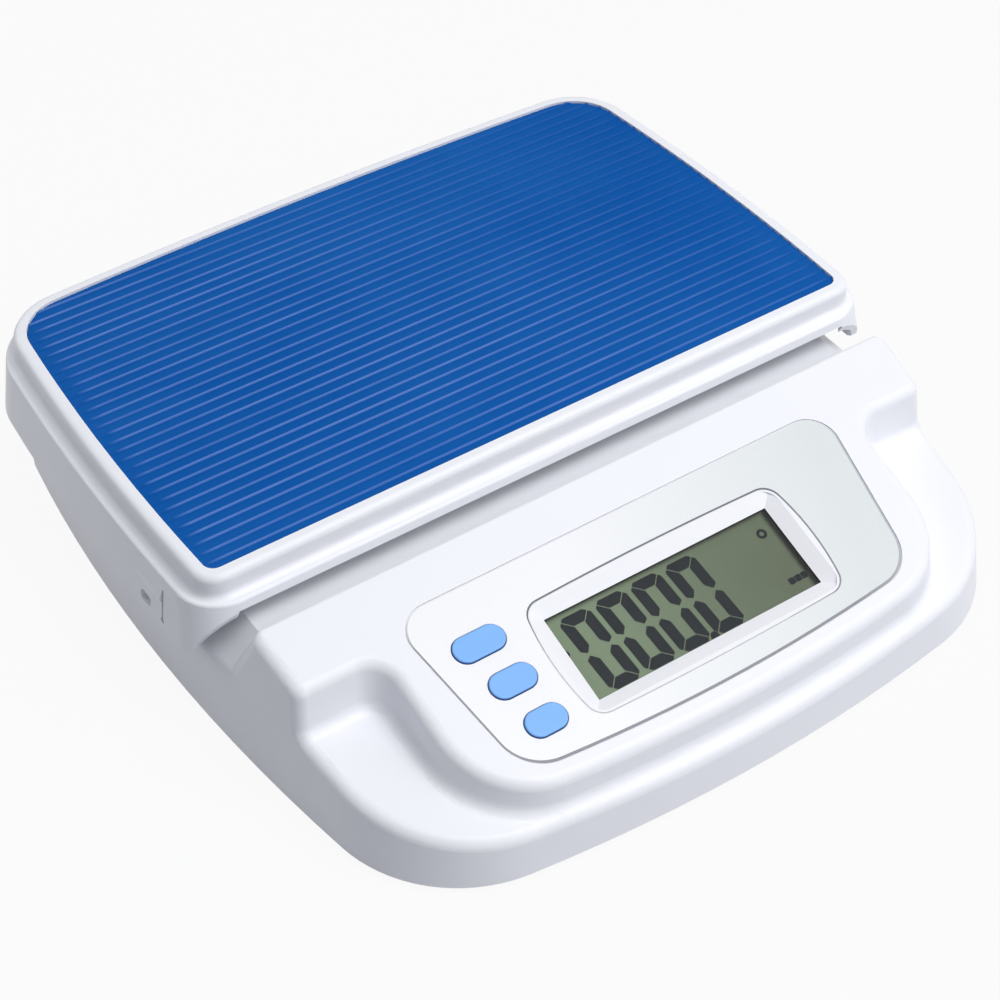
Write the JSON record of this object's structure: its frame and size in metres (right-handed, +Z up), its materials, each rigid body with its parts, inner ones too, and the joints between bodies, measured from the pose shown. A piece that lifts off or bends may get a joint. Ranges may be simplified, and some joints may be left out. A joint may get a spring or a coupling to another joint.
{
  "type": "digital baby and toddler scale",
  "caption": "Digital baby scale: moulded base with a sloping console, display window and oblong keys, in front of a rimmed weighing platform with a ribbed mat.",
  "frame": {"origin": "on the ground, under the middle of the scale's overall box", "axes": "+Z up; -Y towards the person who reads the display; +X to that person's right"},
  "size_m": [0.3226, 0.3287, 0.0745],
  "materials": {
    "white_shell": "fine satin, injection moulded",
    "white_platform": "fine satin, injection moulded",
    "cover_plastic": "light texture",
    "foot_rubber": "matt",
    "plate_steel": "zinc plated",
    "cell_aluminium": "machined",
    "spider_casting": "die cast",
    "screw_steel": "zinc plated",
    "board_green": "solder mask",
    "chip_black": "matt resin",
    "connector_white": "nylon",
    "lcd_olive": "reflective display",
    "zebra_rubber": "matt",
    "window_clear": "clear",
    "bezel_white": "smooth",
    "film_silver": "printed film",
    "key_blue": "smooth",
    "jack_black": "moulded",
    "battery_can": "printed sleeve",
    "contact_nickel": "nickel plated",
    "cable_grey": "sleeved",
    "wire_black": "sleeved",
    "wire_red": "sleeved",
    "mat_blue": "ribbed, slightly glossy"
  },
  "bodies": {
    "base": {"upper_housing": "white_shell", "bottom_cover": "cover_plastic", "foot_front_left": "foot_rubber", "foot_front_right": "foot_rubber", "foot_back_left": "foot_rubber", "foot_back_right": "foot_rubber", "cell_base_plate": "plate_steel", "load_cell": "cell_aluminium", "lower_spacer": "cell_aluminium", "lower_cell_screws": "screw_steel", "plate_screws": "screw_steel", "overload_stops": "screw_steel", "housing_screws": "screw_steel", "board_screws": "screw_steel", "main_board": "board_green", "controller_chip": "chip_black", "key_switches": "chip_black", "lead_connectors": "connector_white", "lcd_panel": "lcd_olive", "zebra_strips": "zebra_rubber", "display_window": "window_clear", "display_bezel": "bezel_white", "panel_overlay": "film_silver", "dc_jack": "jack_black", "battery_1": "battery_can", "battery_2": "battery_can", "battery_3": "battery_can", "battery_4": "battery_can", "positive_contacts": "contact_nickel", "negative_contacts": "contact_nickel", "load_cell_cable": "cable_grey", "battery_lead_black": "wire_black", "battery_lead_red": "wire_red"},
    "platform": {"platform_cover": "white_platform", "ribbed_mat": "mat_blue", "support_spider": "spider_casting", "upper_spacer": "cell_aluminium", "upper_cell_screws": "screw_steel", "platform_screws": "screw_steel"},
    "button_zero": {"button_zero": "key_blue"},
    "button_mode": {"button_mode": "key_blue"},
    "button_memory": {"button_memory": "key_blue"},
    "battery_door": {"battery_door": "cover_plastic"}
  },
  "joints": [
    {"name": "platform_travel", "type": "slide", "parent": "base", "child": "platform", "axis": [0, 0, 1], "range_m": [-0.001, 0], "stiffness_N_per_m": 40000, "deforming": ["load_cell"]},
    {"name": "zero_key_press", "type": "slide", "parent": "base", "child": "button_zero", "axis": [0, 0.3057, -0.9521], "range_m": [0, 0.0006], "stiffness_N_per_m": 600, "springref_m": -0.0005},
    {"name": "mode_key_press", "type": "slide", "parent": "base", "child": "button_mode", "axis": [0, 0.3057, -0.9521], "range_m": [0, 0.0006], "stiffness_N_per_m": 600, "springref_m": -0.0005},
    {"name": "memory_key_press", "type": "slide", "parent": "base", "child": "button_memory", "axis": [0, 0.3057, -0.9521], "range_m": [0, 0.0006], "stiffness_N_per_m": 600, "springref_m": -0.0005},
    {"name": "battery_door_hinge", "type": "hinge", "parent": "base", "child": "battery_door", "pos_m": [0, -0.0283, 0.0034], "axis": [-1, 0, 0], "range_deg": [0, 75]}
  ]
}
